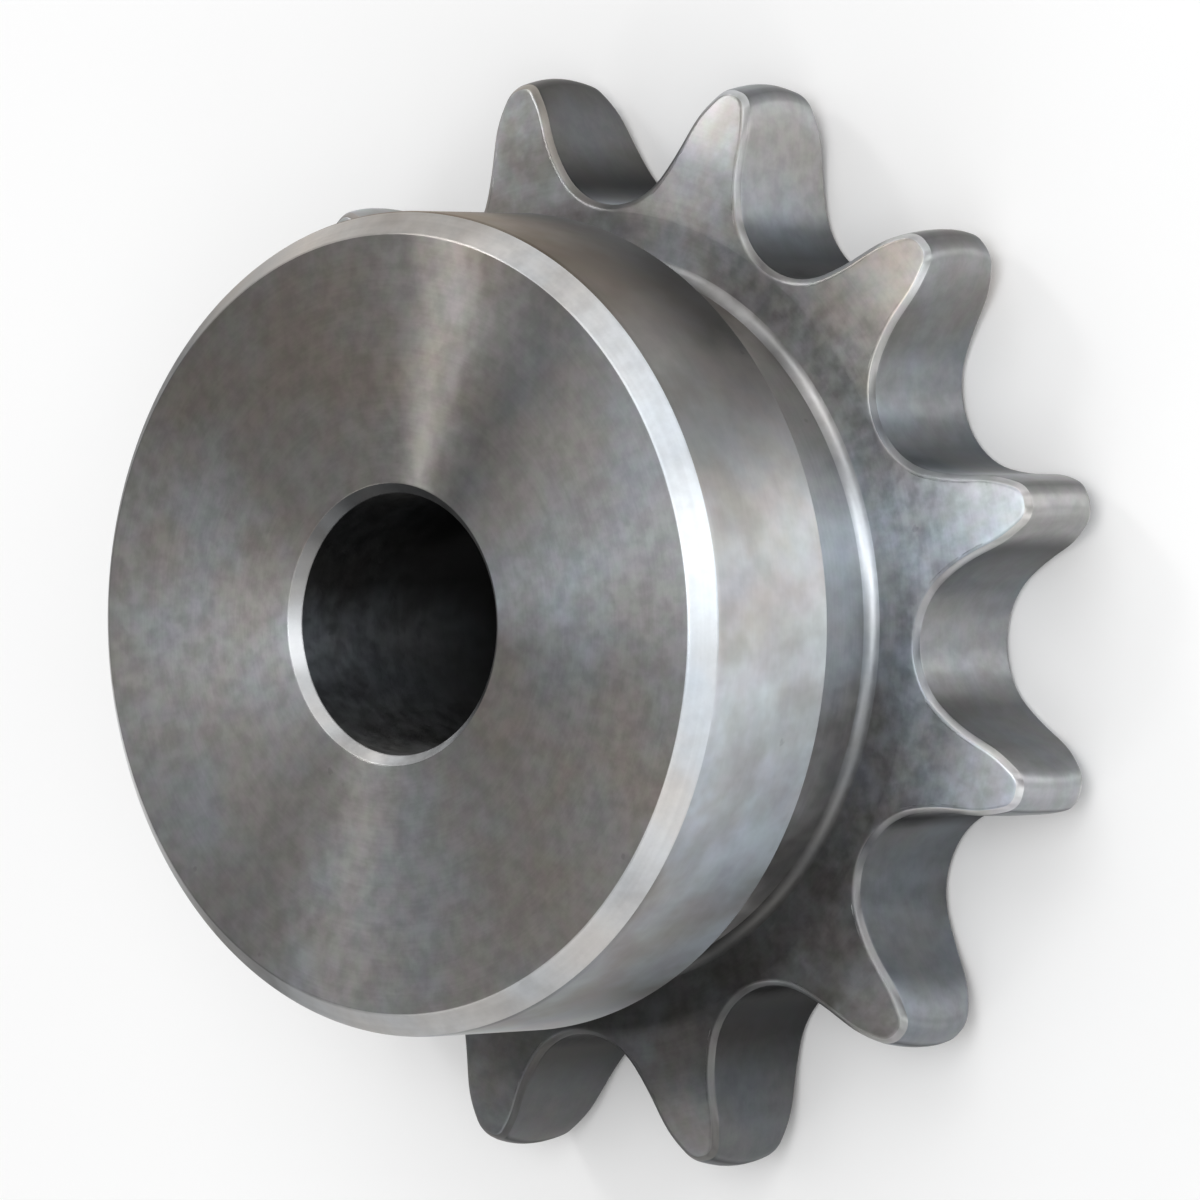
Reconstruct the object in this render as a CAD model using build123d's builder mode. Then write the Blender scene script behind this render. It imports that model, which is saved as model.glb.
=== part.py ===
from build123d import *
import math
import os

# Chain sprocket with a hub on one side, turned and toothed from one piece of steel.
#
# The origin is on the bore axis, at the plain back face of the toothed plate. +Z runs along
# the bore and out through the hub face. A tooth is centred on +X. Sizes are in millimetres.

# Chain that the sprocket is made for
pitch = 12.7                # from one roller to the next
roller_diameter = 7.92      # largest roller that seats in a gap
teeth = 12

# Toothed plate
plate_thickness = 7.2
relief_start_radius = 20.2  # where the sides of the teeth leave the flat face
relief_start_slope = 4.0    # degrees
relief_blend_radius = 22.6  # where the sides begin to curve in more steeply
relief_depth = 1.3          # taken off each side of a tooth at its tip
edge_bevel = 0.25           # along both edges of the tooth outline
tip_rounding = 1.1

# Hub, and the groove beside it that clears the link plates of the chain
hub_diameter = 40.0
hub_face_height = 22.2      # from the back face to the hub face
hub_chamfer = 1.1
shoulder_bevel = 0.2        # on the edge of the hub that faces the plate
groove_diameter = 35.3
groove_width = 5.9
groove_fillet = 0.8         # where the groove meets the plate

# Bore
bore_diameter = 12.7
bore_chamfer = 0.5

# The standard tooth form, worked out from the chain. Each gap is drawn on +X, about the
# centre of its seated roller. An angle is measured from +Y, along the pitch circle, and
# grows outwards.
half_step = math.pi / teeth
pitch_radius = pitch / 2 / math.sin(half_step)
outside_radius = pitch * (0.6 + 1 / math.tan(half_step)) / 2
seating_radius = 0.5025 * roller_diameter + 0.0381
seating_angle = math.radians(35 + 60 / teeth)
working_angle = math.radians(18 - 56 / teeth)
working_offset = 0.8 * roller_diameter
working_radius = working_offset + seating_radius
flat_angle = math.radians(17 - 64 / teeth)
flat_length = roller_diameter * (1.4 * math.sin(flat_angle) - 0.8 * math.sin(working_angle))
topping_offset = 1.4 * roller_diameter


def toward(angle, distance):
    """Step of a given length, at an angle from +Y that grows towards +X."""
    return Vector(distance * math.sin(angle), distance * math.cos(angle))


def on_circle(radius, angle):
    """Point on a circle about the bore axis, at an angle from +X."""
    return Vector(radius * math.cos(angle), radius * math.sin(angle))


def rims(piece, diameter):
    """Round edges of a given diameter on a piece, from the lowest to the highest."""
    circles = piece.edges().filter_by(GeomType.CIRCLE)
    return circles.filter_by(lambda edge: abs(edge.radius - diameter / 2) < 0.001).sort_by(Axis.Z)


roller_centre = Vector(pitch_radius, 0)
gap_bottom = Vector(pitch_radius - seating_radius, 0)
seat_end = roller_centre + toward(-seating_angle, seating_radius)
working_centre = roller_centre + toward(math.pi - seating_angle, working_offset)
working_end = working_centre + toward(working_angle - seating_angle, working_radius)
flat_end = working_end + toward(math.pi / 2 + working_angle - seating_angle, flat_length)
topping_centre = roller_centre + toward(-half_step, topping_offset)
topping_radius = (flat_end - topping_centre).length

# The topping arc meets the outside circle at an angle given by the law of cosines
reach = topping_centre.length
corner_cosine = (reach**2 + outside_radius**2 - topping_radius**2) / (2 * reach * outside_radius)
corner_angle = math.atan2(topping_centre.Y, topping_centre.X) - math.acos(corner_cosine)
tip_corner = on_circle(outside_radius, corner_angle)
tip_middle = on_circle(outside_radius, half_step)

# One gap with half a tooth tip on each side: seating arc, working arc, short flat, topping
# arc, tip
with BuildLine() as tooth_gap:
    RadiusArc(gap_bottom, seat_end, seating_radius)
    RadiusArc(seat_end, working_end, working_radius)
    Line(working_end, flat_end)
    RadiusArc(flat_end, tip_corner, -topping_radius)
    RadiusArc(tip_corner, tip_middle, -outside_radius)
    fillet(tooth_gap.vertices().sort_by_distance(tip_corner)[0], tip_rounding)
    mirror(about=Plane.XZ)

# Section of what the relief takes off the front of the plate, outside its flat face
overrun = 1.0               # a cut runs past the blank by this much
blend_drop = (relief_blend_radius - relief_start_radius) * math.tan(math.radians(relief_start_slope))
relief_start = Vector(relief_start_radius, plate_thickness)
relief_blend = Vector(relief_blend_radius, plate_thickness - blend_drop)
relief_end = Vector(outside_radius, plate_thickness - relief_depth)
cut_outer_radius = outside_radius + overrun
cut_height = plate_thickness + overrun

with BuildPart() as sprocket:
    # Toothed plate
    with BuildSketch():
        with BuildLine():
            with PolarLocations(0, teeth, start_angle=math.degrees(half_step)):
                add(tooth_gap.line)
        make_face()
    extrude(amount=plate_thickness)

    # Relief of the teeth, on both sides of the plate
    with BuildSketch(Plane.XZ):
        with BuildLine():
            slope = Line(relief_start, relief_blend)
            TangentArc(relief_blend, relief_end, tangent=slope % 1)
            Polyline(
                relief_end,
                (cut_outer_radius, relief_end.Y),
                (cut_outer_radius, cut_height),
                (relief_start_radius, cut_height),
                relief_start,
            )
        make_face()
        mirror(about=Plane.XZ.offset(-plate_thickness / 2))
    revolve(axis=Axis.Z, mode=Mode.SUBTRACT)

    # Bevel along the tooth outline, on both sides
    flanks = sprocket.faces().filter_by(lambda face: abs(face.normal_at().Z) < 0.01)
    chamfer(flanks.edges().filter_by(Axis.Z, reverse=True), edge_bevel)

    # Hub, with the groove turned behind it
    with BuildSketch(Plane.XY.offset(plate_thickness)):
        Circle(hub_diameter / 2)
    extrude(amount=hub_face_height - plate_thickness)
    with BuildSketch(Plane.XY.offset(plate_thickness)):
        Circle(hub_diameter / 2 + overrun)
        Circle(groove_diameter / 2, mode=Mode.SUBTRACT)
    extrude(amount=groove_width, mode=Mode.SUBTRACT)
    fillet(rims(sprocket, groove_diameter)[0], groove_fillet)
    hub_shoulder, hub_rim = rims(sprocket, hub_diameter)
    chamfer(hub_shoulder, shoulder_bevel)
    chamfer(hub_rim, hub_chamfer)

    # Bore, right through
    Hole(bore_diameter / 2)
    chamfer(rims(sprocket, bore_diameter), bore_chamfer)

sprocket.part.label = "sprocket"

os.makedirs("parts", exist_ok=True)
export_step(sprocket.part, "parts/sprocket.step")
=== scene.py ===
import logging
import math
from dataclasses import dataclass, field
from enum import Enum
from typing import NamedTuple

import bpy
import numpy as np
from mathutils import Matrix, Vector


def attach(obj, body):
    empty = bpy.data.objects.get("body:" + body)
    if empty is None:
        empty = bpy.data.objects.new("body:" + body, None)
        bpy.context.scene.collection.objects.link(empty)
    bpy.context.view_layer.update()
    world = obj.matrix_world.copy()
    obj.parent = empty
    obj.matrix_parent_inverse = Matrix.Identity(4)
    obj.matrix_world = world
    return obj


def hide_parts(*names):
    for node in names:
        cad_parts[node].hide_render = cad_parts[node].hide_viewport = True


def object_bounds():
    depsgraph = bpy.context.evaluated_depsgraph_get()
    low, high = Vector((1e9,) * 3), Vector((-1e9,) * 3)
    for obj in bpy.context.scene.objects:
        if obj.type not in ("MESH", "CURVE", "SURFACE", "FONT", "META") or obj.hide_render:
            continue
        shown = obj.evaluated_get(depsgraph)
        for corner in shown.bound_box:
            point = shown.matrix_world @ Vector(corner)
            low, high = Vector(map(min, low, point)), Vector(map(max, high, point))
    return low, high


# A chain sprocket with a hub on one side, turned and toothed from one piece of plain steel.
#
# The origin is on the bore axis, at the back face of the toothed plate, and +Z runs out
# through the hub face. Sizes are in millimetres, and MM takes them into the scene's metres.

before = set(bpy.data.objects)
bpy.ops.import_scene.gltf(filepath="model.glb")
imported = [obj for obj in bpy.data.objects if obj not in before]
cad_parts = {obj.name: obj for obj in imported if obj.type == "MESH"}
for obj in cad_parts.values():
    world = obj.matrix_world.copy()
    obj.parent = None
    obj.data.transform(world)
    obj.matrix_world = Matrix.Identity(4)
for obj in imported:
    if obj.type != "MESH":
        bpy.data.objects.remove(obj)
cad_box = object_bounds()

MM = 0.001

# A noise runs from 0 to 1, but mostly keeps near a half. The wide range is spread over
# changes of shade and gloss, and the narrow one over changes of hue. Stains are read away
# from the mottling, which has grains of their size, so that the two don't lie on each other.
WIDE_NOISE = (0.25, 0.75)
NARROW_NOISE = (0.3, 0.7)
STAIN_OFFSET = (31.0, 17.0, 5.0)
QUARTER_TURN = 0.25

log = logging.getLogger("chain_sprocket")


class Finish(Enum):
    """Finish of each machined surface, numbered as the material slots of the piece."""

    BORE = 0
    HUB_FACE = 1
    CHAMFER = 2
    BARREL = 3
    GROOVE = 4
    PLATE = 5
    TOOTH_SIDE = 6
    BEVEL = 7
    TOOTH_GAP = 8
    BACK_FACE = 9
    BORE_CHAMFER = 10
    FILLET = 11


# ---------------------------------------------------------------------------------------
# Curves and surfaces
# ---------------------------------------------------------------------------------------


class Outline(NamedTuple):
    """Points along a flat outline, and the unit normals that point out of the steel."""

    points: np.ndarray
    normals: np.ndarray


class Rows(NamedTuple):
    """Rows of points across a surface, and the finish of the strip that follows each row."""

    points: np.ndarray
    finishes: np.ndarray


def polar(angle: float, distance: float) -> np.ndarray:
    """Returns the flat vector of a given length, at an angle from +X."""
    return distance * np.array([math.cos(angle), math.sin(angle)])


def bearing(vector: np.ndarray) -> float:
    """Returns the angle of a flat vector from +X."""
    return math.atan2(vector[1], vector[0])


def arc(
    centre: np.ndarray, radius: float, turn: tuple[float, float], count: int, side: int
) -> Outline:
    """Samples an arc evenly, without its last point.

    Each point is the centre plus the radius times the ray at its angle, and the angles run
    evenly through the turn. The normal is that ray, or its opposite in a hollow.

    Args:
        centre: Centre of the arc.
        radius: Radius of the arc.
        turn: First and last angle from +X.
        count: Number of points.
        side: +1 where the steel bulges, -1 where it is hollow.

    Returns:
        The points and their normals.
    """
    angles = np.linspace(*turn, count, endpoint=False)
    rays = np.stack([np.cos(angles), np.sin(angles)], axis=1)
    return Outline(centre + radius * rays, side * rays)


def straight(start: np.ndarray, end: np.ndarray, normal: np.ndarray, count: int) -> Outline:
    """Samples a straight line evenly, without its last point.

    Args:
        start: First point.
        end: Point where the line stops.
        normal: Unit normal that points out of the steel.
        count: Number of points.

    Returns:
        The points and their normals.
    """
    return Outline(np.linspace(start, end, count, endpoint=False), np.tile(normal, (count, 1)))


def rounded_path(corners: np.ndarray, radii: np.ndarray, steps: int, hold: float) -> np.ndarray:
    """Rounds the inner corners of an open path.

    Each corner becomes an arc that is tangent to both legs: from where it leaves the first
    leg it goes radius * sin(a) along that leg and radius * (1 - cos(a)) to the side of the
    turn, for a from nothing to the whole turn. One more row on each side of the arc keeps the
    shading of the legs flat.

    Args:
        corners: Points of the path, shape (n, 2).
        radii: Radius at each of the n - 2 inner corners.
        steps: Number of segments in each arc.
        hold: Distance from an arc to the row beside it.

    Returns:
        The rows of the path, shape (m, 2). Each leg starts half way round its corner.
    """
    legs = np.diff(corners, axis=0)
    along = legs / np.linalg.norm(legs, axis=1, keepdims=True)
    before, after = along[:-1], along[1:]
    cross = before[:, 0] * after[:, 1] - before[:, 1] * after[:, 0]
    turns = np.arctan2(np.abs(cross), (before * after).sum(axis=1))
    inward = np.sign(cross)[:, None] * np.stack([-before[:, 1], before[:, 0]], axis=1)
    setbacks = (radii * np.tan(turns / 2))[:, None]
    starts = corners[1:-1] - setbacks * before
    angles = (turns[:, None] * np.linspace(0, 1, steps + 1))[..., None]
    arcs = starts[:, None] + radii[:, None, None] * (
        np.sin(angles) * before[:, None] + (1 - np.cos(angles)) * inward[:, None]
    )
    lead_in = starts - hold * before
    lead_out = corners[1:-1] + (setbacks + hold) * after
    blocks = np.concatenate([lead_in[:, None], arcs, lead_out[:, None]], axis=1)
    return np.concatenate([corners[:1], blocks.reshape(-1, 2), corners[-1:]])


def rows_a_corner(steps: int) -> int:
    """Returns how many rows rounded_path adds for each corner."""
    return steps + 3


def closed_grid(name: str, points: np.ndarray, finishes: np.ndarray) -> bpy.types.Object:
    """Makes an object from a grid of points that closes on itself both ways, as a ring does.

    Face (i, j) joins rows i and i + 1 at columns j and j + 1, and the last row and column
    join the first. Its UV map runs once round the piece in U and once along the section in
    V, where V grows with the mean length of the section.

    Args:
        name: Name of the object.
        points: Points in metres, shape (rows, columns, 3).
        finishes: Material slot of the strip after each row.

    Returns:
        The object, linked to the scene, at the origin.
    """
    rows, columns = points.shape[:2]
    row, column = np.meshgrid(np.arange(rows), np.arange(columns), indexing="ij")
    next_row, next_column = (row + 1) % rows, (column + 1) % columns
    corner_rows = np.stack([row, next_row, next_row, row], axis=-1)
    corner_columns = np.stack([column, column, next_column, next_column], axis=-1)
    quads = (corner_rows * columns + corner_columns).reshape(-1, 4)

    mesh = bpy.data.meshes.new(name)
    mesh.vertices.add(rows * columns)
    mesh.vertices.foreach_set("co", points.astype(np.float32).ravel())
    mesh.loops.add(quads.size)
    mesh.loops.foreach_set("vertex_index", quads.astype(np.int32).ravel())
    mesh.polygons.add(len(quads))
    mesh.polygons.foreach_set("loop_start", np.arange(0, quads.size, 4, dtype=np.int32))
    mesh.polygons.foreach_set("material_index", np.repeat(finishes, columns).astype(np.int32))
    mesh.polygons.foreach_set("use_smooth", np.ones(len(quads), dtype=bool))

    steps = np.linalg.norm(np.roll(points, -1, axis=0) - points, axis=2).mean(axis=1)
    length = np.concatenate([[0.0], np.cumsum(steps)])
    u = np.stack([column, column, column + 1, column + 1], axis=-1) / columns
    v = length[np.stack([row, row + 1, row + 1, row], axis=-1)] / length[-1]
    layer = mesh.uv_layers.new(name="section_map")
    layer.uv.foreach_set("vector", np.stack([u, v], axis=-1).astype(np.float32).ravel())

    mesh.update(calc_edges=True)
    mesh.validate()
    piece = bpy.data.objects.new(name, mesh)
    bpy.context.scene.collection.objects.link(piece)
    return piece


# ---------------------------------------------------------------------------------------
# Finishes
# ---------------------------------------------------------------------------------------


class Lay(Enum):
    """Which way the tool marks run on a surface, and what they step across."""

    FACED = "circles on a flat face, a step apart along the radius"
    TURNED = "circles round a barrel, a step apart along the bore"
    CONED = "circles on a chamfer, a step apart down its slope"
    CUT = "lines along the tooth gap, a step apart through the plate"


class Bench:
    """Adds nodes to a material and joins them. A socket is joined, anything else is set."""

    def __init__(self, material: bpy.types.Material) -> None:
        """Clears the material's nodes.

        Args:
            material: The material to work on.
        """
        material.use_nodes = True
        self.tree = material.node_tree
        self.tree.nodes.clear()

    def add(self, kind: str, inputs: dict | None = None, **settings: object) -> bpy.types.Node:
        """Adds a node.

        Args:
            kind: Blender's name for the type of node.
            inputs: Sockets or plain values, by input name or number.
            settings: Properties of the node.

        Returns:
            The node.
        """
        node = self.tree.nodes.new(kind)
        for name, value in settings.items():
            setattr(node, name, value)
        for name, value in (inputs or {}).items():
            if isinstance(value, bpy.types.NodeSocket):
                self.tree.links.new(value, node.inputs[name])
            else:
                node.inputs[name].default_value = value
        return node

    def sum(self, operation: str, *values: object, clamp: bool = False) -> bpy.types.NodeSocket:
        """Works out one number from others.

        Args:
            operation: Blender's name for the sum.
            values: Sockets or numbers.
            clamp: Whether the result is kept between 0 and 1.

        Returns:
            The result.
        """
        node = self.add(
            "ShaderNodeMath", dict(enumerate(values)), operation=operation, use_clamp=clamp
        )
        return node.outputs[0]

    def vector(self, operation: str, *values: object, scale: object = None) -> bpy.types.NodeSocket:
        """Works out a vector from others.

        Args:
            operation: Blender's name for the sum.
            values: Sockets or triples.
            scale: What to scale by, where the sum is SCALE.

        Returns:
            The result, a number where the sum is LENGTH.
        """
        inputs = dict(enumerate(values))
        if scale is not None:
            inputs["Scale"] = scale
        node = self.add("ShaderNodeVectorMath", inputs, operation=operation)
        return node.outputs["Value" if operation == "LENGTH" else "Vector"]

    def noise(
        self, vector: bpy.types.NodeSocket, detail: float, roughness: float
    ) -> bpy.types.NodeSocket:
        """Adds a noise whose grains are one unit of the vector across.

        Args:
            vector: Where the noise is read.
            detail: Number of finer layers.
            roughness: Strength of each finer layer beside the last.

        Returns:
            The noise, from 0 to 1 about a mean of a half.
        """
        inputs = {"Vector": vector, "Scale": 1.0, "Detail": detail, "Roughness": roughness}
        return self.add("ShaderNodeTexNoise", inputs).outputs["Fac"]

    def spread(
        self, value: bpy.types.NodeSocket, low: float, high: float, to: tuple[float, float]
    ) -> bpy.types.NodeSocket:
        """Stretches a range of a value smoothly over another range, and holds it there beyond.

        Args:
            value: The value.
            low: Where the first end of the new range is reached.
            high: Where its last end is reached.
            to: The new range.

        Returns:
            The new value.
        """
        node = self.add(
            "ShaderNodeMapRange",
            {"Value": value, "From Min": low, "From Max": high, "To Min": to[0], "To Max": to[1]},
            interpolation_type="SMOOTHSTEP",
        )
        return node.outputs["Result"]

    def blend(self, factor: object, first: object, second: object) -> bpy.types.NodeSocket:
        """Blends two colours.

        Args:
            factor: Share of the second colour.
            first: Colour at a factor of 0.
            second: Colour at a factor of 1.

        Returns:
            The blended colour.
        """
        node = self.add("ShaderNodeMix", {"Factor": factor}, data_type="RGBA")
        for socket, value in (("A_Color", first), ("B_Color", second)):
            target = next(found for found in node.inputs if found.identifier == socket)
            if isinstance(value, bpy.types.NodeSocket):
                self.tree.links.new(value, target)
            else:
                target.default_value = (*value, 1.0)
        return next(found for found in node.outputs if found.identifier == "Result_Color")


class Shade(Enum):
    """Shares of light that steel gives back, painted from shade deep in a bore to a full gleam."""

    # Painted shade, for deep in the bore.
    SOOTY = 0.006
    BLACK = 0.055
    DARK = 0.09
    DUSKY = 0.13
    DULL = 0.19
    GREY = 0.24
    PLAIN = 0.3
    CLEAN = 0.35
    PALE = 0.45
    LIGHT = 0.55
    BRIGHT = 0.7
    GLEAM = 0.85
    FULL = 1.0


# Casts that a tone can have: how much more red and less blue it gives back than green.
COOL = -0.07
WARM = 0.07
TAN = 0.2


class Tone(NamedTuple):
    """A colour with painted light and shade, at one bearing about the bore, in degrees from +X."""

    bearing: float
    color: tuple[float, float, float]


@dataclass(frozen=True)
class MachinedSteel:
    """Bare steel from the tool: fine marks, cloudy tone, dark specks, painted light and shade.

    Sizes are in millimetres. The colour goes from tone to tone round the bore, along a line
    that wanders, and the tones paint light and shade into it beside the steel's own colour:
    the light ones are painted highlights and reflections, the dark ones painted shade. The
    marks stretch a highlight square to their run, which the anisotropy does for marks too fine
    to draw and the bump for those that show. The depths, the warmth and the tint are the
    shares by which clouds, mottling, marks, specks and small stains move the colour, and the
    stains move it between green and magenta. Of the cells that could hold a speck, the speck
    cover is the share that does.

    The lean is painted light: how much lighter the steel is painted for each millimetre
    outwards on the +X side, and darker on the other side, counted from the lean radius. Over
    the far reach, two heights on turned steel and two radii elsewhere, the tones give way to
    the far tones, which paint light and shade of their own, and over the step reach they
    already do so by the step share. The facing tones are painted light and shade by the
    bearing that the surface faces, and they multiply the rest.
    """

    name: str
    lay: Lay
    tones: tuple[Tone, ...]
    wander: float = 0.05
    cloud_size: float = 5.0
    cloud_depth: float = 0.06
    cloud_warmth: float = 0.03
    tint: float = 0.012
    mottle_size: float = 0.9
    mottle_depth: float = 0.07
    roughness: float = 0.37
    roughness_spread: float = 0.04
    anisotropy: float = 0.88
    mark_step: float = 0.16
    mark_depth: float = 0.0012
    mark_run: float = 5.0
    cut_radius: float = 10.0
    mark_detail: float = 3.0
    mark_tone: float = 0.03
    speck_size: float = 1.1
    speck_grain: float = 1 / 6
    speck_cover: float = 0.042
    speck_reach: float = 0.2
    speck_softness: float = 0.08
    speck_depth: float = 0.16
    lean: float = 0.0
    lean_radius: float = 13.0
    far_tones: tuple[Tone, ...] = ()
    far_reach: tuple[float, float] = (22.4, 25.2)
    step_reach: tuple[float, float] = (19.9, 21.0)
    step_share: float = 0.0
    facing_tones: tuple[Tone, ...] = ()

    def material(self) -> bpy.types.Material:
        """Builds the material."""
        material = bpy.data.materials.new(self.name)
        bench = Bench(material)
        place = bench.vector(
            "SCALE", bench.add("ShaderNodeTexCoord").outputs["Object"], scale=1 / MM
        )
        flat = bench.vector("MULTIPLY", place, (1.0, 1.0, 0.0))
        stretched = self.mark_vector(bench, place, flat)
        marks = bench.noise(stretched, detail=self.mark_detail, roughness=0.55)
        in_clouds = bench.vector("SCALE", place, scale=1 / self.cloud_size)
        clouds = bench.noise(in_clouds, detail=3.0, roughness=0.55)
        in_mottle = bench.vector("SCALE", place, scale=1 / self.mottle_size)
        mottle = bench.noise(in_mottle, detail=3.0, roughness=0.6)

        # The tones round the bore paint light and shade into the colour.
        color = self.colour_with_painted_light(bench, place, flat, clouds)
        for noise, depth in (
            (clouds, self.cloud_depth),
            (mottle, self.mottle_depth),
            (marks, self.mark_tone),
        ):
            color = bench.vector(
                "SCALE", color, scale=bench.spread(noise, *WIDE_NOISE, (1 - depth, 1 + depth))
            )
        color = bench.vector("SCALE", color, scale=self.specks(bench, place))
        if self.lean:
            color = bench.vector("SCALE", color, scale=self.leaning(bench, flat))

        roughness = bench.spread(
            mottle,
            *WIDE_NOISE,
            (self.roughness - self.roughness_spread, self.roughness + self.roughness_spread),
        )
        bump = bench.add(
            "ShaderNodeBump",
            {"Strength": 1.0, "Distance": self.mark_depth * MM, "Height": marks},
        )
        shader = bench.add(
            "ShaderNodeBsdfPrincipled",
            {
                "Base Color": color,
                "Metallic": 1.0,
                "Roughness": roughness,
                "Anisotropic": self.anisotropy,
                "Anisotropic Rotation": QUARTER_TURN,
                "Tangent": self.run(bench, flat),
                "Normal": bump.outputs["Normal"],
            },
        )
        bench.add("ShaderNodeOutputMaterial", {"Surface": shader.outputs["BSDF"]})
        return material

    def colour_with_painted_light(
        self,
        bench: Bench,
        place: bpy.types.NodeSocket,
        flat: bpy.types.NodeSocket,
        clouds: bpy.types.NodeSocket,
    ) -> bpy.types.NodeSocket:
        """Finds the colour: tones with painted light and shade, and how far it is off grey.

        Args:
            bench: Where the nodes go.
            place: The place on the part, in millimetres.
            flat: The same, with no height.
            clouds: Noise that moves the bearing and warms the colour.

        Returns:
            The colour.
        """
        color = self.round_the_bore(bench, place, clouds, self.tones)
        if self.far_tones:
            if self.lay is Lay.TURNED:
                reached = bench.add("ShaderNodeSeparateXYZ", {"Vector": place}).outputs["Z"]
            else:
                reached = bench.vector("LENGTH", flat)
            share = bench.spread(reached, *self.far_reach, (0.0, 1 - self.step_share))
            if self.step_share:
                step = bench.spread(reached, *self.step_reach, (0.0, self.step_share))
                share = bench.sum("ADD", share, step)
            far_color = self.round_the_bore(bench, place, clouds, self.far_tones)
            color = bench.blend(share, color, far_color)
        if self.facing_tones:
            # Painted light and shade by the way the surface faces, which multiplies the colour.
            facing = bench.add("ShaderNodeNewGeometry").outputs["Normal"]
            facing_shade = self.round_the_bore(bench, facing, clouds, self.facing_tones)
            color = bench.vector("MULTIPLY", color, facing_shade)
        warm = bench.blend(
            bench.spread(clouds, *NARROW_NOISE, (0.0, 1.0)),
            (1 + self.cloud_warmth, 1.0, 1 - self.cloud_warmth),
            (1 - self.cloud_warmth, 1.0, 1 + self.cloud_warmth),
        )
        away = bench.vector("ADD", place, STAIN_OFFSET)
        in_stains = bench.vector("SCALE", away, scale=1 / self.mottle_size)
        stains = bench.noise(in_stains, detail=2.0, roughness=0.5)
        tinted = bench.blend(
            bench.spread(stains, *NARROW_NOISE, (0.0, 1.0)),
            (1 + self.tint, 1 - self.tint, 1 + self.tint),
            (1 - self.tint, 1 + self.tint, 1 - self.tint),
        )
        return bench.vector("MULTIPLY", bench.vector("MULTIPLY", color, warm), tinted)

    def round_the_bore(
        self,
        bench: Bench,
        vector: bpy.types.NodeSocket,
        clouds: bpy.types.NodeSocket,
        tones: tuple[Tone, ...],
    ) -> bpy.types.NodeSocket:
        """Looks up a tone by the bearing of a vector, moved a little by the clouds.

        Args:
            bench: Where the nodes go.
            vector: The vector, whose height does not count.
            clouds: Noise that moves the bearing.
            tones: The tones, from -180 to 180 degrees.

        Returns:
            The colour.
        """
        parts = bench.add("ShaderNodeSeparateXYZ", {"Vector": vector})
        turn = bench.sum("ARCTAN2", parts.outputs["Y"], parts.outputs["X"])
        share = bench.sum("MULTIPLY_ADD", turn, 1 / math.tau, 0.5)
        moved = bench.sum("MULTIPLY_ADD", clouds, self.wander, share)
        looked_up = bench.sum("FRACT", bench.sum("SUBTRACT", moved, self.wander / 2))
        ramp = bench.add("ShaderNodeValToRGB", {"Fac": looked_up})
        ramp.color_ramp.interpolation = "LINEAR"
        stops = ramp.color_ramp.elements
        while len(stops) < len(tones):
            stops.new(1.0)
        for stop, tone in zip(stops, tones):
            stop.position = tone.bearing / 360 + 0.5
            stop.color = (*tone.color, 1.0)
        return ramp.outputs["Color"]

    def leaning(self, bench: Bench, flat: bpy.types.NodeSocket) -> bpy.types.NodeSocket:
        """Finds how much lighter or darker the lean paints the steel: painted light and shade.

        It is 1 + lean * (radius - lean radius) * x / radius.

        Args:
            bench: Where the nodes go.
            flat: The place on the part, with no height.

        Returns:
            The factor.
        """
        radius = bench.vector("LENGTH", flat)
        share = bench.sum("SUBTRACT", 1.0, bench.sum("DIVIDE", self.lean_radius, radius))
        across = bench.add("ShaderNodeSeparateXYZ", {"Vector": flat}).outputs["X"]
        return bench.sum(
            "MULTIPLY_ADD", bench.sum("MULTIPLY", across, share), self.lean, 1.0
        )

    def specks(self, bench: Bench, place: bpy.types.NodeSocket) -> bpy.types.NodeSocket:
        """Scatters small dark specks with soft, uneven edges in the middles of a few cells.

        Args:
            bench: Where the nodes go.
            place: The place on the part, in millimetres.

        Returns:
            1 for clean steel, less in a speck.
        """
        cell = bench.vector("SCALE", place, scale=1 / self.speck_size)
        grains = bench.vector("SCALE", place, scale=1 / self.speck_grain)
        ragged = bench.noise(grains, detail=1.0, roughness=0.5)
        cells = bench.add("ShaderNodeTexVoronoi", {"Vector": cell, "Scale": 1.0})
        chosen = bench.add("ShaderNodeSeparateColor", {"Color": cells.outputs["Color"]})
        least = 1 - self.speck_cover
        reach = bench.spread(chosen.outputs["Red"], least, 1.0, (0.0, self.speck_reach))
        edge = bench.sum("MULTIPLY", reach, bench.sum("ADD", ragged, 0.5))
        gap = bench.sum("SUBTRACT", edge, cells.outputs["Distance"])
        inside = bench.spread(gap, 0.0, self.speck_softness, (0.0, 1.0))
        return bench.sum("MULTIPLY_ADD", inside, -self.speck_depth, 1.0)

    def mark_vector(
        self, bench: Bench, place: bpy.types.NodeSocket, flat: bpy.types.NodeSocket
    ) -> bpy.types.NodeSocket:
        """Stretches space so that noise in it becomes tool marks.

        Round marks are read from the unit ray at each angle, times how many runs there are in
        a radian, with the step across them as the third part, so that they close on
        themselves. Cut marks are read from the place itself, and are as long as round ones
        are at the cut radius.

        Args:
            bench: Where the nodes go.
            place: The place on the part, in millimetres.
            flat: The same, with no height.

        Returns:
            The stretched place.
        """
        height = bench.add("ShaderNodeSeparateXYZ", {"Vector": place}).outputs["Z"]
        radius = bench.vector("LENGTH", flat)
        if self.lay is Lay.CUT:
            around = bench.vector("SCALE", flat, scale=self.mark_run / self.cut_radius)
        else:
            around = bench.vector("SCALE", bench.vector("NORMALIZE", flat), scale=self.mark_run)
        across = {
            Lay.FACED: lambda: radius,
            Lay.TURNED: lambda: height,
            Lay.CONED: lambda: bench.sum("SUBTRACT", radius, height),
            Lay.CUT: lambda: height,
        }[self.lay]()
        steps = bench.add(
            "ShaderNodeCombineXYZ", {"Z": bench.sum("DIVIDE", across, self.mark_step)}
        )
        return bench.vector("ADD", around, steps.outputs["Vector"])

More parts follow.
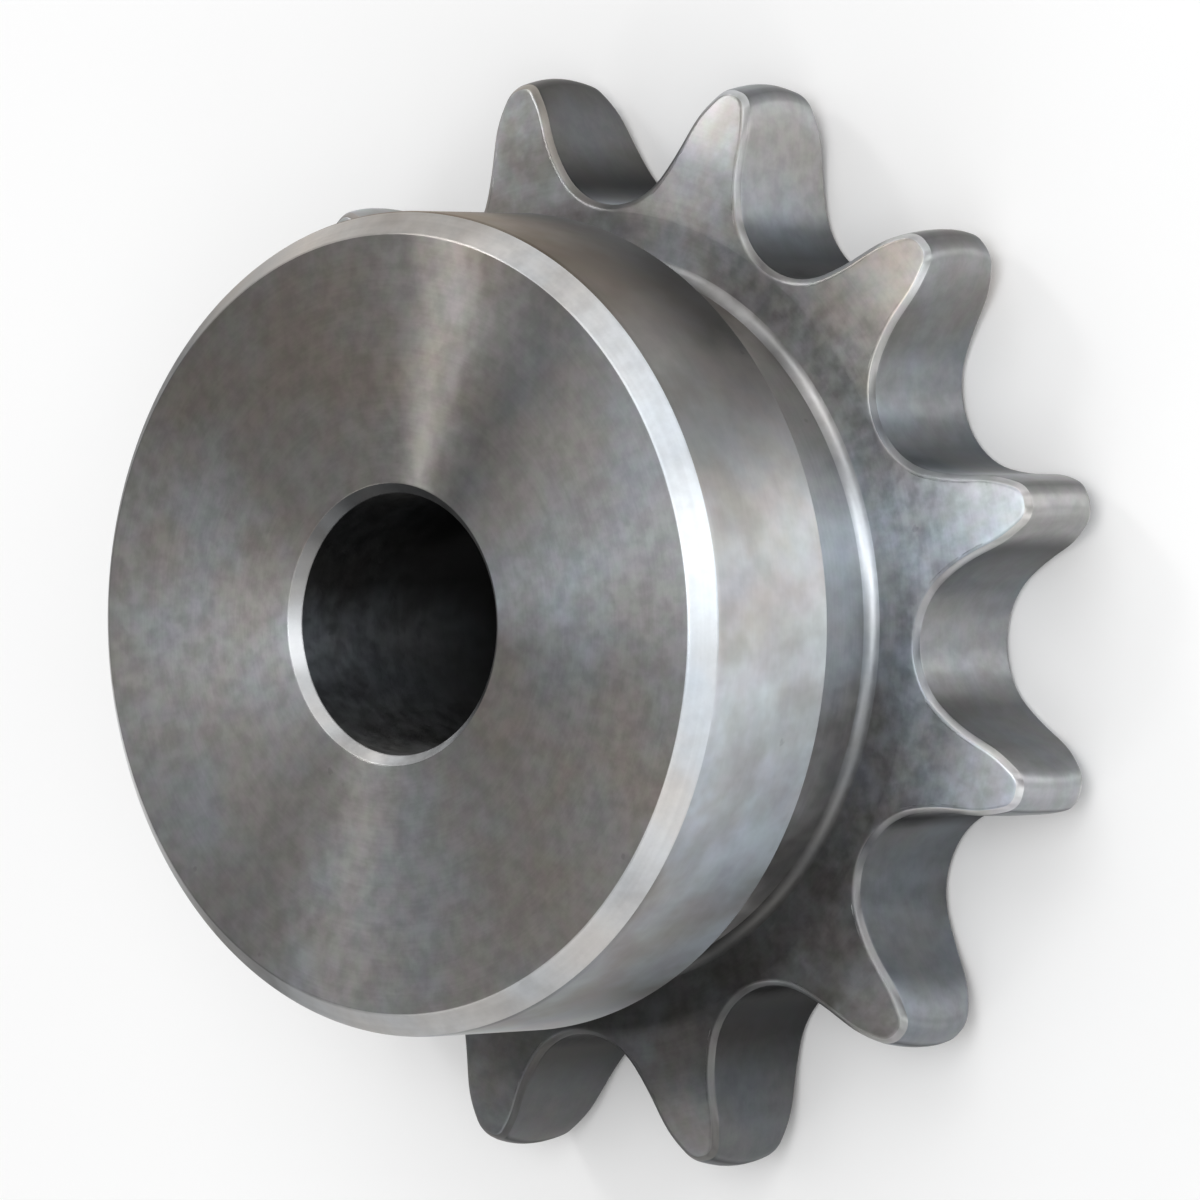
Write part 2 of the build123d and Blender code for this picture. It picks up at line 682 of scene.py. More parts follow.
    def run(self, bench: Bench, flat: bpy.types.NodeSocket) -> bpy.types.NodeSocket:
        """Finds the direction in which the marks run.

        It is square to the bore: across the ray on a round surface, across the surface's own
        normal in a tooth gap.

        Args:
            bench: Where the nodes go.
            flat: The place on the part, with no height.

        Returns:
            The direction.
        """
        ray = flat
        if self.lay is Lay.CUT:
            ray = bench.add("ShaderNodeNewGeometry").outputs["Normal"]
        return bench.vector("CROSS_PRODUCT", (0.0, 0.0, 1.0), ray)


# ---------------------------------------------------------------------------------------
# The sprocket
# ---------------------------------------------------------------------------------------


@dataclass(frozen=True)
class ToothForm:
    """Outline of the toothed rim, in the standard form that is worked out from the chain."""

    pitch: float = 12.7
    roller_diameter: float = 7.92
    teeth: int = 12
    tip_rounding: float = 1.1
    seat_points: int = 8
    working_points: int = 4
    flat_points: int = 2
    topping_points: int = 5
    tip_points: int = 8
    land_points: int = 2

    @property
    def half_step(self) -> float:
        """Angle from the middle of a gap to the middle of the next tooth."""
        return math.pi / self.teeth

    @property
    def pitch_radius(self) -> float:
        """Radius of the circle through the centres of the seated rollers."""
        return self.pitch / 2 / math.sin(self.half_step)

    @property
    def outside_radius(self) -> float:
        """Radius over the tips of the teeth."""
        return self.pitch * (0.6 + 1 / math.tan(self.half_step)) / 2

    def half_gap(self) -> Outline:
        """Draws the outline from the bottom of a gap on +X to the middle of the next tooth.

        A seating arc about the roller turns into a wider working arc, then a short flat, then
        the topping arc, which rounds the flank back over the tooth. A small arc rounds the
        tip, and its centre lies where circles about the bore and about the topping centre
        cross, each smaller than its own arc by the rounding. A last arc follows the tip.

        Returns:
            The points and normals, without the middle of the tooth itself.
        """
        # The numbers here are those of the standard form.
        seat_radius = 0.5025 * self.roller_diameter + 0.0381
        seat_end = math.pi / 2 + math.radians(35 + 60 / self.teeth)
        working_turn = math.radians(18 - 56 / self.teeth)
        working_end = seat_end - working_turn
        working_offset = 0.8 * self.roller_diameter
        working_radius = working_offset + seat_radius
        topping_offset = 1.4 * self.roller_diameter
        flat_length = topping_offset * math.sin(math.radians(17 - 64 / self.teeth)) - (
            working_offset * math.sin(working_turn)
        )
        roller = np.array([self.pitch_radius, 0.0])
        working_centre = roller + polar(seat_end - math.pi, working_offset)
        topping_centre = roller + polar(math.pi / 2 + self.half_step, topping_offset)
        flat_start = working_centre + polar(working_end, working_radius)
        flat_stop = flat_start + polar(working_end - math.pi / 2, flat_length)
        topping_radius = float(np.linalg.norm(flat_stop - topping_centre))

        reach = float(np.linalg.norm(topping_centre))
        from_bore = self.outside_radius - self.tip_rounding
        from_topping = topping_radius - self.tip_rounding
        cosine = (reach**2 + from_bore**2 - from_topping**2) / (2 * reach * from_bore)
        tip_bearing = bearing(topping_centre) - math.acos(cosine)
        tip_centre = polar(tip_bearing, from_bore)
        topping_end = bearing(tip_centre - topping_centre)
        hollow = -polar(working_end, 1.0)

        parts = [
            arc(roller, seat_radius, (math.pi, seat_end), self.seat_points, -1),
            arc(working_centre, working_radius, (seat_end, working_end), self.working_points, -1),
            straight(flat_start, flat_stop, hollow, self.flat_points),
            arc(
                topping_centre,
                topping_radius,
                (bearing(flat_stop - topping_centre), topping_end),
                self.topping_points,
                1,
            ),
            arc(tip_centre, self.tip_rounding, (topping_end, tip_bearing), self.tip_points, 1),
            arc(
                np.zeros(2),
                self.outside_radius,
                (tip_bearing, self.half_step),
                self.land_points,
                1,
            ),
        ]
        return Outline(*(np.concatenate(column) for column in zip(*parts)))

    def outline(self) -> Outline:
        """Draws the whole outline, from the middle of the gap that follows the tooth on +X.

        The half gap is mirrored about the middle of the tooth, and that tooth is turned
        through one step after another.

        Returns:
            The points and normals, shape (columns, 2), evenly many for each half tooth.
        """
        half = self.half_gap()
        tooth_middle = Outline(
            polar(self.half_step, self.outside_radius)[None], polar(self.half_step, 1.0)[None]
        )
        cosine, sine = math.cos(2 * self.half_step), math.sin(2 * self.half_step)
        flip = np.array([[cosine, sine], [sine, -cosine]])
        steps = (2 * np.arange(self.teeth) + 1) * self.half_step
        turns = np.array([[np.cos(steps), np.sin(steps)], [-np.sin(steps), np.cos(steps)]])

        def whole(part: np.ndarray, middle: np.ndarray) -> np.ndarray:
            """Mirrors half a tooth and turns it round the rim."""
            tooth = np.concatenate([part, middle, part[:0:-1] @ flip])
            return np.einsum("pa,abt->tpb", tooth, turns).reshape(-1, 2)

        return Outline(*(whole(part, middle) for part, middle in zip(half, tooth_middle)))

    def bearings(self) -> np.ndarray:
        """Angles of the same columns where they lie on a circle, evenly spaced."""
        columns = len(self.outline().points)
        return self.half_step + 2 * math.pi * np.arange(columns) / columns


@dataclass(frozen=True)
class ToothRelief:
    """How the sides of the teeth lean in: a shallow cone, then an arc tangent to it."""

    start_radius: float = 20.2
    start_slope: float = math.radians(4.0)
    blend_radius: float = 22.6
    tip_drop: float = 1.3

    def drop(self, radius: np.ndarray, outside_radius: float) -> np.ndarray:
        """Works out how far the side has dropped below the flat face.

        On the cone the drop is the slope times the distance from its start. The arc leaves
        the cone's end E along its slope and ends at the tip T, so its radius is |ET|^2 over
        twice the part of ET that is square to the slope.

        Args:
            radius: Distances from the bore axis.
            outside_radius: Radius over the tips of the teeth.

        Returns:
            The drop at each distance.
        """
        cone = np.maximum(radius - self.start_radius, 0) * math.tan(self.start_slope)
        blend_drop = (self.blend_radius - self.start_radius) * math.tan(self.start_slope)
        across, down = outside_radius - self.blend_radius, self.tip_drop - blend_drop
        square = down * math.cos(self.start_slope) - across * math.sin(self.start_slope)
        bend = (across**2 + down**2) / (2 * square)
        centre_radius = self.blend_radius - bend * math.sin(self.start_slope)
        centre_drop = blend_drop + bend * math.cos(self.start_slope)
        curve = centre_drop - np.sqrt(bend**2 - (radius - centre_radius) ** 2)
        return np.where(radius < self.blend_radius, cone, curve)


@dataclass(frozen=True)
class TurnedBody:
    """The parts that a lathe gives its round shape: bore, hub, chamfers, groove and plate."""

    plate_thickness: float = 7.2
    hub_diameter: float = 40.0
    hub_face_height: float = 22.2
    hub_chamfer: float = 1.1
    shoulder_bevel: float = 0.2
    groove_diameter: float = 35.3
    groove_width: float = 5.9
    groove_fillet: float = 0.55
    bore_diameter: float = 12.7
    bore_chamfer: float = 0.5
    bore_rounding: float = 0.12
    face_rounding: float = 0.2
    barrel_rounding: float = 0.4
    shoulder_rounding: float = 0.2
    corner_rounding: float = 0.1
    steps: int = 4
    hold: float = 0.04

    def section(self, meet_radius: float) -> Rows:
        """Draws the turned section, from the back of the plate through the bore to its front.

        Args:
            meet_radius: Radius where the section meets the toothed rim, front and back.

        Returns:
            Rows of (radius, height), and the finish of the strip after each row.
        """
        bore, hub, groove = self.bore_diameter / 2, self.hub_diameter / 2, self.groove_diameter / 2
        top, plate = self.hub_face_height, self.plate_thickness
        shoulder = plate + self.groove_width
        mouth = bore + self.bore_chamfer
        legs = [
            (meet_radius, 0, 0, Finish.BACK_FACE),
            (mouth, 0, self.bore_rounding, Finish.BORE_CHAMFER),
            (bore, self.bore_chamfer, self.bore_rounding, Finish.BORE),
            (bore, top - self.bore_chamfer, self.bore_rounding, Finish.BORE_CHAMFER),
            (mouth, top, self.bore_rounding, Finish.HUB_FACE),
            (hub - self.hub_chamfer, top, self.face_rounding, Finish.CHAMFER),
            (hub, top - self.hub_chamfer, self.barrel_rounding, Finish.BARREL),
            (hub, shoulder + self.shoulder_bevel, self.shoulder_rounding, Finish.BARREL),
            (hub - self.shoulder_bevel, shoulder, self.shoulder_rounding, Finish.GROOVE),
            (groove, shoulder, self.corner_rounding, Finish.GROOVE),
            (groove, plate, self.groove_fillet, Finish.PLATE),
            (meet_radius, plate, 0, Finish.PLATE),
        ]
        corners = np.array([leg[:2] for leg in legs], dtype=float)
        radii = np.array([leg[2] for leg in legs[1:-1]], dtype=float)
        points = rounded_path(corners, radii, self.steps, self.hold)
        each = rows_a_corner(self.steps)
        leg_of_row = (np.arange(len(points)) + each - 1 - self.steps // 2) // each
        finishes = np.array([leg[3].value for leg in legs])[np.minimum(leg_of_row, len(legs) - 1)]
        # The strips of the last corner's arc are a finish of their own. After its last row
        # come only the lead-out and the end of the path.
        finishes[-3 - self.steps : -3] = Finish.FILLET.value
        return Rows(points, finishes)


@dataclass(frozen=True)
class ToothedRim:
    """The rim: tooth sides that lean in, the bevel along their outline, and the cut gaps.

    The crease shares place the rows between the flat ring and the start of the relief, the
    side shares those from there to the bevel, and the wall shares those between the bevel and
    mid thickness. The crown is how far the tips draw in beside the bevel, from the radius at
    which it starts.
    """

    form: ToothForm = field(default_factory=ToothForm)
    relief: ToothRelief = field(default_factory=ToothRelief)
    thickness: float = 7.2
    bevel: float = 0.25
    edge_rounding: float = 0.3
    meet_radius: float = 19.6
    steps: int = 4
    hold: float = 0.04
    crease_limit: float = 0.85
    crease_shares: tuple[float, ...] = (0.5, 0.97, 1.0)
    side_shares: tuple[float, ...] = (0.02, 0.1, 0.2, 0.32, 0.44, 0.56, 0.68, 0.8, 0.9)
    wall_shares: tuple[float, ...] = (0.12, 0.28, 0.46, 0.64, 0.84)
    crown: float = 0.32
    crown_start: float = 24.3

    def front(self) -> Rows:
        """Lays out the rows from the flat ring over the tooth sides and bevel to mid thickness.

        Between the ring and the bevel a row lies at a share of the way along straight lines
        that join the circle to the outline, drawn in by the bevel. The first shares stand
        where those lines cross the circle on which the relief starts. Each point is as high as
        the relief leaves it, less what the bevel and the gap wall drop.

        Returns:
            Rows of points in millimetres, shape (rows, columns, 3), and their finishes.
        """
        outline = self.form.outline()
        angles = self.form.bearings()
        circle = self.meet_radius * np.stack([np.cos(angles), np.sin(angles)], axis=1)

        corners = np.array(
            [
                (self.bevel + self.edge_rounding * math.tan(math.pi / 8) + self.hold * 2, 0),
                (self.bevel, 0),
                (0, self.bevel),
                (0, self.thickness / 2 - self.relief.tip_drop),
            ]
        )
        edge = rounded_path(corners, np.full(2, self.edge_rounding), self.steps, self.hold)
        wall = edge[-2] + np.array(self.wall_shares)[:, None] * (edge[-1] - edge[-2])
        rim = np.concatenate([edge[1:-1], wall])
        crowned = outline.points * self.crowning(outline, rim[:, 1:])[..., None]
        rim_flat = crowned - rim[:, :1, None] * outline.normals

        reach = rim_flat[0] - circle
        along = (circle * reach).sum(axis=1)
        square = (reach**2).sum(axis=1)
        missing = self.relief.start_radius**2 - self.meet_radius**2
        crease = (np.sqrt(along**2 + square * missing) - along) / square
        crease = np.minimum(crease, self.crease_limit)[None]
        shares = np.concatenate(
            [share * crease for share in self.crease_shares]
            + [crease + share * (1 - crease) for share in self.side_shares]
        )
        side_flat = circle + shares[..., None] * reach

        flat = np.concatenate([side_flat, rim_flat])
        drops = np.concatenate([np.zeros(len(side_flat)), rim[:, 1]])
        radius = np.linalg.norm(flat, axis=2)
        relief = self.relief.drop(radius, self.form.outside_radius)
        height = self.thickness - relief - drops[:, None]
        plates = len(self.crease_shares) - 1
        sides = len(side_flat) - plates + self.steps // 2 + 1
        bevels = rows_a_corner(self.steps)
        walls = len(flat) - plates - sides - bevels
        finishes = np.repeat(
            [
                Finish.PLATE.value,
                Finish.TOOTH_SIDE.value,
                Finish.BEVEL.value,
                Finish.TOOTH_GAP.value,
            ],
            [plates, sides, bevels, walls],
        )
        return Rows(np.concatenate([flat, height[..., None]], axis=2), finishes)

    def crowning(self, outline: Outline, depths: np.ndarray) -> np.ndarray:
        """Works out how far the tips of the teeth draw in towards the sides of the plate.

        They are drawn in most at the bevel, and not at all at mid thickness or in the gaps.

        Args:
            outline: The outline of the rim.
            depths: Depths of the rows below the side, shape (rows, 1).

        Returns:
            The factor that takes each point of the outline to its place in the row.
        """
        radius = np.linalg.norm(outline.points, axis=1)
        reach = self.form.outside_radius - self.crown_start
        share = np.clip((radius - self.crown_start) / reach, 0, 1)
        half = self.thickness / 2 - self.relief.tip_drop
        left = np.clip((half - depths) / (half - self.bevel), 0, 1)
        return 1 - self.crown * left**2 * share**2 * (3 - 2 * share) / radius


@dataclass(frozen=True)
class ChainSprocket:
    """The whole sprocket, one closed surface: the turned section carried round, then the rim."""

    body: TurnedBody = field(default_factory=TurnedBody)
    rim: ToothedRim = field(default_factory=ToothedRim)
    name: str = "sprocket_body"
    node: str = "sprocket"
    slot: str = "turned_steel"

    def surface(self) -> Rows:
        """Joins the turned rows to the rim's front rows and their mirror image on the back.

        A turned row is its radius times the ray at each column's angle, at its height. A back
        row is a front row with its height taken from the thickness of the plate.

        Returns:
            Rows of points in metres, shape (rows, columns, 3), and their finishes.
        """
        section = self.body.section(self.rim.meet_radius)
        angles = self.rim.form.bearings()
        radii, heights = section.points[:, :1], section.points[:, 1:]
        turned = np.stack(
            [radii * np.cos(angles), radii * np.sin(angles), heights + 0 * angles], axis=2
        )
        front = self.rim.front()
        back = front.points[::-1] * (1, 1, -1) + (0, 0, self.rim.thickness)
        points = np.concatenate([turned, front.points, back]) * MM
        back_finishes = np.roll(front.finishes[::-1], -1)
        back_finishes[-2:] = Finish.BACK_FACE.value
        finishes = np.concatenate([section.finishes, front.finishes, back_finishes])
        return Rows(points, finishes)

    def build(self) -> bpy.types.Object:
        """Builds the piece under the root body, hides the CAD part it stands for, and logs it."""
        surface = self.surface()
        piece = closed_grid(self.name, surface.points, surface.finishes)
        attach(piece, "root")
        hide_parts(self.node)
        report_piece(piece)
        return piece


def report_piece(piece: bpy.types.Object) -> None:
    """Logs the size, face count and volume of a piece.

    Args:
        piece: A mesh object at the origin.
    """
    mesh = piece.data
    co = np.empty(len(mesh.vertices) * 3, dtype=np.float32)
    mesh.vertices.foreach_get("co", co)
    co = co.reshape(-1, 3).astype(float) / MM
    quads = np.empty(len(mesh.loops), dtype=np.int32)
    mesh.loops.foreach_get("vertex_index", quads)
    a, b, c, d = (co[quads.reshape(-1, 4)[:, k]] for k in range(4))
    volume = (np.cross(b - a, c - a) * a).sum() / 6 + (np.cross(c - a, d - a) * a).sum() / 6
    log.info(
        "%s: %s mm, %d quads, %.0f cubic mm",
        piece.name,
        np.round(np.ptp(co, axis=0), 3),
        len(mesh.polygons),
        volume,
    )


@dataclass(frozen=True)
class Viewpoint:
    """The camera: where it stands about the piece, and how it is turned and aimed."""

    azimuth: float = math.radians(-11.3)
    elevation: float = math.radians(48.85)
    roll: float = math.radians(91.1)
    distance: float = 554.6
    aim_right: float = 2.77
    aim_up: float = 1.04
    lens: float = 339.0
    sensor: float = 36.0

    def place(self, centre: Vector) -> None:
        """Stands the camera off the centre of the piece and makes it the scene's camera.

        The camera looks back along the ray at its azimuth and elevation. Its upright axes are
        rolled about that ray, and both it and its aim are moved along them.

        Args:
            centre: Centre of the piece, in metres.
        """
        level = math.cos(self.elevation)
        back = Vector(
            (
                level * math.cos(self.azimuth),
                level * math.sin(self.azimuth),
                math.sin(self.elevation),
            )
        )
        upright = back.to_track_quat("Z", "Y").to_matrix()
        turned = upright @ Matrix.Rotation(-self.roll, 3, "Z")
        offset = turned @ Vector((self.aim_right, self.aim_up, self.distance)) * MM
        data = bpy.data.cameras.new("camera")
        data.lens = self.lens
        data.sensor_width = self.sensor
        data.clip_start = self.distance * MM / 10
        stand = bpy.data.objects.new("camera", data)
        stand.matrix_world = Matrix.Translation(centre + offset) @ turned.to_4x4()
        bpy.context.scene.collection.objects.link(stand)
        bpy.context.scene.camera = stand


def tone(angle: float, shade: Shade, cast: float = 0.0) -> Tone:
    """Makes a tone from its bearing, its shade and its cast."""
    grey = shade.value
    return Tone(angle, (grey * (1 + cast), grey, grey * (1 - cast)))


def tones(*stops: tuple[float, Shade] | tuple[float, Shade, float]) -> tuple[Tone, ...]:
    """Makes a closed round of tones.

    Args:
        stops: Bearing, shade and any cast of each, in the order of their bearings.

    Returns:
        The tones, with the one on the line from the last to the first at both ends.
    """
    listed = [tone(*stop) for stop in stops]
    first, last = listed[0], listed[-1]
    gap = first.bearing + 360 - last.bearing
    share = (180 - last.bearing) / gap
    seam = tuple(a + share * (b - a) for a, b in zip(last.color, first.color))
    return (Tone(-180.0, seam), *listed, Tone(180.0, seam))


# The tones below paint light and shade into each finish by bearing: light stops are painted
# highlights and reflections, dark stops painted shade.
FINISHES = {
    # Painted shade: the bore is black from 110 to 150 degrees, and its far tones darken it the
    # further it runs from the hub face.
    Finish.BORE: MachinedSteel(
        "bored_steel",
        Lay.TURNED,
        tones(
            (-165, Shade.DULL, COOL), (-125, Shade.PLAIN), (110, Shade.BLACK),
            (150, Shade.BLACK), (172, Shade.DULL, COOL),
        ),
        far_tones=tones((-155, Shade.SOOTY), (-115, Shade.DULL), (110, Shade.SOOTY)),
        far_reach=(18.0, 5.0),
    ),
    # Painted highlights: the pale stop at 64 degrees is a streak from the bore to the rim, and the
    # clean stops are lighter sectors; the lean paints the face lighter outwards on the +X side and
    # darker on the other.
    Finish.HUB_FACE: MachinedSteel(
        "faced_steel",
        Lay.FACED,
        tones(
            (-140, Shade.GREY), (-115, Shade.CLEAN), (-90, Shade.PLAIN), (-50, Shade.PLAIN, WARM),
            (-20, Shade.GREY), (0, Shade.CLEAN, COOL), (20, Shade.PLAIN), (42, Shade.DULL),
            (54, Shade.GREY, WARM), (64, Shade.PALE, WARM), (75, Shade.GREY, WARM),
            (130, Shade.GREY, WARM), (155, Shade.CLEAN),
        ),
        lean=0.035,
        cloud_depth=0.07,
        cloud_warmth=0.045,
        mottle_depth=0.1,
        tint=0.02,
    ),
    # Painted highlight, gleaming from 40 to 53 degrees and bright round 5 and -60, and painted
    # shade, dull, round -135 and from 125 to 157 degrees.
    Finish.CHAMFER: MachinedSteel(
        "chamfer_steel",
        Lay.CONED,
        tones(
            (-172, Shade.BRIGHT), (-145, Shade.DULL), (-127, Shade.DULL), (-112, Shade.LIGHT),
            (-82, Shade.LIGHT), (-60, Shade.BRIGHT), (-38, Shade.BRIGHT), (-18, Shade.LIGHT, COOL),
            (5, Shade.BRIGHT, COOL), (40, Shade.GLEAM), (53, Shade.GLEAM), (65, Shade.PALE, WARM),
            (80, Shade.PALE, WARM), (95, Shade.BRIGHT, WARM), (125, Shade.DULL),
            (157, Shade.DULL),
        ),
        mark_step=0.45,
        mark_run=2.0,
        mark_detail=1.0,
        mark_tone=0.04,
        mark_depth=0.0004,
        tint=0.002,
    ),
    # Painted reflection and shade: dark, with a tan cast, towards the top of the barrel from 30 to
    # 75 degrees, and a painted highlight band, light, round -30 to -8 degrees.
    Finish.BARREL: MachinedSteel(
        "barrel_steel",
        Lay.TURNED,
        tones(
            (-100, Shade.LIGHT), (-85, Shade.GREY), (-55, Shade.CLEAN), (-30, Shade.LIGHT, COOL),
            (-15, Shade.LIGHT), (5, Shade.CLEAN), (17, Shade.GREY), (30, Shade.GREY, WARM),
            (50, Shade.DUSKY, TAN), (75, Shade.GREY, TAN),
        ),
        far_tones=tones(
            (-100, Shade.PALE), (-75, Shade.DUSKY), (-50, Shade.PLAIN, COOL),
            (-30, Shade.PALE, COOL), (-8, Shade.LIGHT), (6, Shade.PALE), (17, Shade.GREY),
            (30, Shade.BLACK), (75, Shade.DARK),
        ),
        far_reach=(20.8, 13.8),
        roughness=0.46,
        anisotropy=0.95,
        cloud_size=4.0,
        cloud_depth=0.14,
        cloud_warmth=0.04,
        mottle_size=2.2,
        mottle_depth=0.13,
        mark_tone=0.015,
        mark_depth=0.0006,
    ),
    # Painted highlight, pale round 0 degrees, and painted shade, dull round -58.
    Finish.GROOVE: MachinedSteel(
        "groove_steel",
        Lay.TURNED,
        tones(
            (-70, Shade.CLEAN), (-58, Shade.DULL), (-30, Shade.GREY), (0, Shade.PALE, COOL),
            (15, Shade.PLAIN), (45, Shade.GREY, WARM), (60, Shade.PLAIN),
        ),
    ),
    # Painted shade on the plate at the bottom, black and dark from -100 to -75 degrees where the
    # hub shades it; the far tones paint highlights on the tooth sides, brightest at 105.
    Finish.PLATE: MachinedSteel(
        "plate_steel",
        Lay.FACED,
        tones(
            (-100, Shade.BLACK), (-75, Shade.DARK), (-45, Shade.GREY), (-15, Shade.PLAIN, COOL),
            (5, Shade.PALE, COOL), (30, Shade.PALE), (60, Shade.PLAIN), (75, Shade.DULL),
            (102, Shade.PALE, WARM), (120, Shade.DULL),
        ),
        far_tones=tones(
            (-115, Shade.DULL), (-90, Shade.GREY), (-75, Shade.BLACK), (-60, Shade.CLEAN),
            (-45, Shade.DULL), (-30, Shade.LIGHT, COOL), (-15, Shade.LIGHT, COOL),
            (0, Shade.PALE, COOL), (15, Shade.BRIGHT, WARM), (45, Shade.PLAIN, WARM),
            (60, Shade.LIGHT), (75, Shade.CLEAN), (105, Shade.GLEAM), (120, Shade.BRIGHT),
        ),
        step_share=0.4,
        tint=0.02,
        cloud_size=2.5,
        cloud_depth=0.1,
        cloud_warmth=0.04,
        mottle_depth=0.13,
    ),
    # Painted highlights and shade along the edges: bright and dark stops by turns, and more by the
    # way each face turns in the facing tones.
    Finish.BEVEL: MachinedSteel(
        "bevel_steel",
        Lay.CUT,
        tones(
            (-105, Shade.DARK), (-90, Shade.DULL), (-75, Shade.DARK), (-60, Shade.PALE),
            (-45, Shade.DUSKY, COOL), (-30, Shade.BRIGHT), (-15, Shade.PLAIN, COOL),
            (0, Shade.BRIGHT), (15, Shade.DULL, COOL), (30, Shade.BRIGHT), (45, Shade.GREY),
            (60, Shade.BRIGHT), (75, Shade.DARK), (90, Shade.PALE, WARM),
        ),
        facing_tones=tones(
            (-150, Shade.GREY), (-120, Shade.FULL), (-25, Shade.FULL), (-6, Shade.PALE),
            (7, Shade.LIGHT), (20, Shade.FULL), (105, Shade.FULL), (120, Shade.PLAIN),
            (150, Shade.BRIGHT),
        ),
        wander=0.02,
    ),
    # Painted shade in the gap roots, where the inner tones are black at many bearings, lighter
    # towards the tips in the far tones; the facing tones paint light and shade by the way each wall
    # faces.
    Finish.TOOTH_GAP: MachinedSteel(
        "tooth_gap_steel",
        Lay.CUT,
        tones(
            (-150, Shade.CLEAN), (-110, Shade.BLACK), (-68, Shade.BLACK), (-45, Shade.DULL, COOL),
            (-22, Shade.PALE), (-5, Shade.PLAIN, COOL), (22, Shade.CLEAN, COOL),
            (38, Shade.BLACK), (52, Shade.GREY, COOL), (68, Shade.BRIGHT, COOL),
            (82, Shade.BLACK), (98, Shade.BLACK), (110, Shade.LIGHT),
        ),
        far_tones=tones(
            (-135, Shade.LIGHT), (-110, Shade.BLACK), (-98, Shade.PALE, COOL),
            (-82, Shade.BLACK), (-68, Shade.LIGHT, COOL), (-52, Shade.DULL, COOL),
            (-38, Shade.LIGHT), (-15, Shade.PALE, COOL), (8, Shade.LIGHT), (22, Shade.PLAIN),
            (38, Shade.LIGHT), (60, Shade.PALE), (82, Shade.GREY), (98, Shade.GREY),
            (110, Shade.LIGHT),
        ),
        far_reach=(20.8, 24.2),
        facing_tones=tones(
            (-100, Shade.GLEAM), (-80, Shade.CLEAN), (-65, Shade.GLEAM), (-7, Shade.GLEAM),
            (14, Shade.BRIGHT), (35, Shade.PALE), (50, Shade.LIGHT), (80, Shade.FULL),
            (100, Shade.GLEAM),
        ),
        wander=0.01,
        roughness=0.46,
        anisotropy=0.95,
        mottle_depth=0.11,
        cloud_warmth=0.04,
        tint=0.015,
        mark_tone=0.015,
        mark_depth=0.0006,
    ),
    Finish.BACK_FACE: MachinedSteel("back_face_steel", Lay.FACED, tones((0, Shade.PLAIN))),
    # Painted highlight, gleaming from -135 to -75 degrees, and painted shade, dark from -45 to 105
    # degrees.
    Finish.BORE_CHAMFER: MachinedSteel(
        "bore_chamfer_steel",
        Lay.CONED,
        tones(
            (-165, Shade.LIGHT), (-135, Shade.GLEAM), (-75, Shade.GLEAM), (-45, Shade.DARK),
            (105, Shade.DARK), (150, Shade.CLEAN),
        ),
        tint=0.002,
    ),
    # Painted highlight: the bright stops make the bright line along the fillet.
    Finish.FILLET: MachinedSteel(
        "fillet_steel",
        Lay.TURNED,
        tones(
            (-75, Shade.DARK), (-40, Shade.GREY), (-20, Shade.CLEAN, COOL),
            (-5, Shade.BRIGHT, COOL), (12, Shade.PALE), (25, Shade.BRIGHT), (35, Shade.CLEAN),
            (45, Shade.BRIGHT), (62, Shade.DULL),
        ),
        wander=0.01,
        tint=0.004,
        mark_tone=0.0,
        mark_depth=0.0003,
    ),
}
FINISHES[Finish.TOOTH_SIDE] = FINISHES[Finish.PLATE]


@dataclass(frozen=True)
class Softbox:
    """A round lamp with an even glow, at a bearing and a height above the floor, in degrees."""

    name: str
    azimuth: float
    elevation: float
    strength: float = 1.0
    width: float = 24.0

    def hang(self, centre: Vector, distance: float) -> None:
        """Hangs the lamp so that it faces the piece.

        An even glow of strength 1 sends out pi watts for each square metre of the lamp, a
        quarter of which counts as its own area.

        Args:
            centre: Centre of the piece, in metres.
            distance: Distance from there to the lamp, in metres.
        """
        azimuth, elevation = math.radians(self.azimuth), math.radians(self.elevation)
        ray = Vector(
            (
                math.cos(elevation) * math.cos(azimuth),
                math.cos(elevation) * math.sin(azimuth),
                math.sin(elevation),
            )
        )
        data = bpy.data.lights.new(self.name, "AREA")
        data.shape = "DISK"
        data.size = 2 * distance * math.tan(math.radians(self.width / 2))
        data.energy = self.strength * math.pi * math.pi * (data.size / 2) ** 2
        lamp = bpy.data.objects.new(self.name, data)
        lamp.matrix_world = (
            Matrix.Translation(centre + ray * distance)
            @ ray.to_track_quat("Z", "Y").to_matrix().to_4x4()
        )
        bpy.context.scene.collection.objects.link(lamp)


